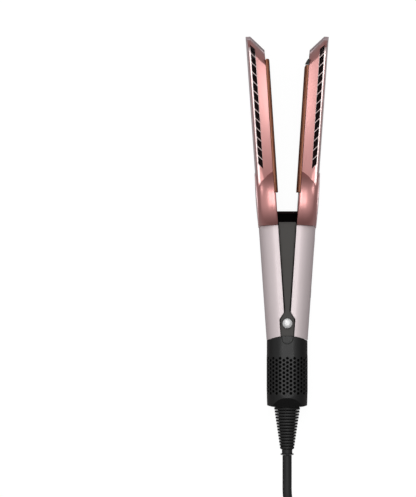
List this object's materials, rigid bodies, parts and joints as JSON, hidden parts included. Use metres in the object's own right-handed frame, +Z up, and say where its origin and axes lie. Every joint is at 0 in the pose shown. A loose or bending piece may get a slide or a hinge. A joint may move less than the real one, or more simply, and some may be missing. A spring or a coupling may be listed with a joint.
{
  "type": "hot-air flat iron",
  "caption": "Hair straightener lying open: two sprung arms with slotted front housings on one hinge pin, a fan motor in a perforated pull-off cage, and a mains lead in a tied hank.",
  "frame": {"origin": "on the hinge pin's axis, in the plane that the iron lies on", "axes": "+Y along the arms to their tips, +X to the right arm, +Z up to the side with the slots"},
  "size_m": [0.0854, 0.6643, 0.06],
  "materials": {
    "pale_shell": "pale pink, pearly satin",
    "copper": "copper pink metallic, glossy",
    "mauve": "dark mauve metallic",
    "ring_pink": "light pink, bright edge",
    "gold": "brown gold, satin",
    "black_plastic": "black, fine grain",
    "spine_grey": "dark warm grey, satin",
    "cage_black": "near black, soft sheen",
    "steel": "plain",
    "bright_steel": "bright satin dome",
    "board_green": "lacquered circuit board",
    "copper_winding": "enamelled copper wire",
    "rubber": "black, matte",
    "smoked_window": "smoked, polished"
  },
  "bodies": {
    "base": {"core_frame": "black_plastic", "spine_cover": "spine_grey", "back_cover": "spine_grey", "hinge_pin": "bright_steel", "pin_washer": "black_plastic", "opening_spring": "steel", "control_board": "board_green", "air_splitter": "black_plastic", "motor_housing": "steel", "stator": "copper_winding", "upper_bearing": "steel", "lower_spider": "black_plastic", "motor_collar": "rubber", "mesh_filter": "steel", "end_cap": "black_plastic", "strain_relief": "rubber", "cord_run": "rubber", "cord_hank": "rubber", "cord_tail": "rubber", "cord_tie": "rubber", "plug": "rubber", "plug_blade_left": "steel", "plug_blade_right": "steel"},
    "right_arm": {"shell_right": "pale_shell", "front_housing_right": "copper", "tip_cap_right": "mauve", "inner_plate_right": "black_plastic", "front_guide_bar_right": "gold", "rear_guide_bar_right": "gold", "duct_liner_right": "black_plastic", "heater_right": "steel", "disc_ring_right": "ring_pink", "disc_inlay_right": "pale_shell", "hinge_bracket_right": "black_plastic", "bar_bumper": "rubber", "display_window": "smoked_window"},
    "left_arm": {"shell_left": "pale_shell", "front_housing_left": "copper", "tip_cap_left": "mauve", "inner_plate_left": "black_plastic", "front_guide_bar_left": "gold", "rear_guide_bar_left": "gold", "duct_liner_left": "black_plastic", "heater_left": "steel", "disc_ring_left": "ring_pink", "disc_inlay_left": "pale_shell", "hinge_bracket_left": "black_plastic"},
    "power_key": {"power_button": "black_plastic"},
    "heat_key": {"heat_button": "black_plastic"},
    "airflow_key": {"airflow_button": "black_plastic"},
    "fan": {"rotor": "steel"},
    "cage": {"filter_cage": "cage_black"},
    "arm_lock": {"lock_slider": "cage_black"}
  },
  "joints": [
    {"name": "right_arm_close", "type": "hinge", "parent": "base", "child": "right_arm", "pos_m": [0, 0, 0], "axis": [0, 0, 1], "range_deg": [0, 3.8], "stiffness_Nm_per_rad": 3, "springref_deg": -5.73},
    {"name": "left_arm_close", "type": "hinge", "parent": "base", "child": "left_arm", "pos_m": [0, 0, 0], "axis": [0, 0, -1], "range_deg": [0, 3.8], "stiffness_Nm_per_rad": 3, "springref_deg": -5.73},
    {"name": "power_press", "type": "slide", "parent": "right_arm", "child": "power_key", "axis": [-0.9978, 0.0663, 0], "range_m": [0, 0.0008], "stiffness_N_per_m": 500, "springref_m": -0.001},
    {"name": "heat_press", "type": "slide", "parent": "right_arm", "child": "heat_key", "axis": [-0.9978, 0.0663, 0], "range_m": [0, 0.0008], "stiffness_N_per_m": 500, "springref_m": -0.001},
    {"name": "airflow_press", "type": "slide", "parent": "right_arm", "child": "airflow_key", "axis": [-0.9978, 0.0663, 0], "range_m": [0, 0.0008], "stiffness_N_per_m": 500, "springref_m": -0.001},
    {"name": "fan_spin", "type": "hinge", "parent": "base", "child": "fan", "pos_m": [0, 0, 0.0235], "axis": [0, 1, 0], "continuous": true},
    {"name": "cage_pull", "type": "slide", "parent": "base", "child": "cage", "axis": [0, -1, 0], "range_m": [0, 0.06]},
    {"name": "lock_slide", "type": "slide", "parent": "base", "child": "arm_lock", "axis": [0, 1, 0], "range_m": [0, 0.003]}
  ]
}
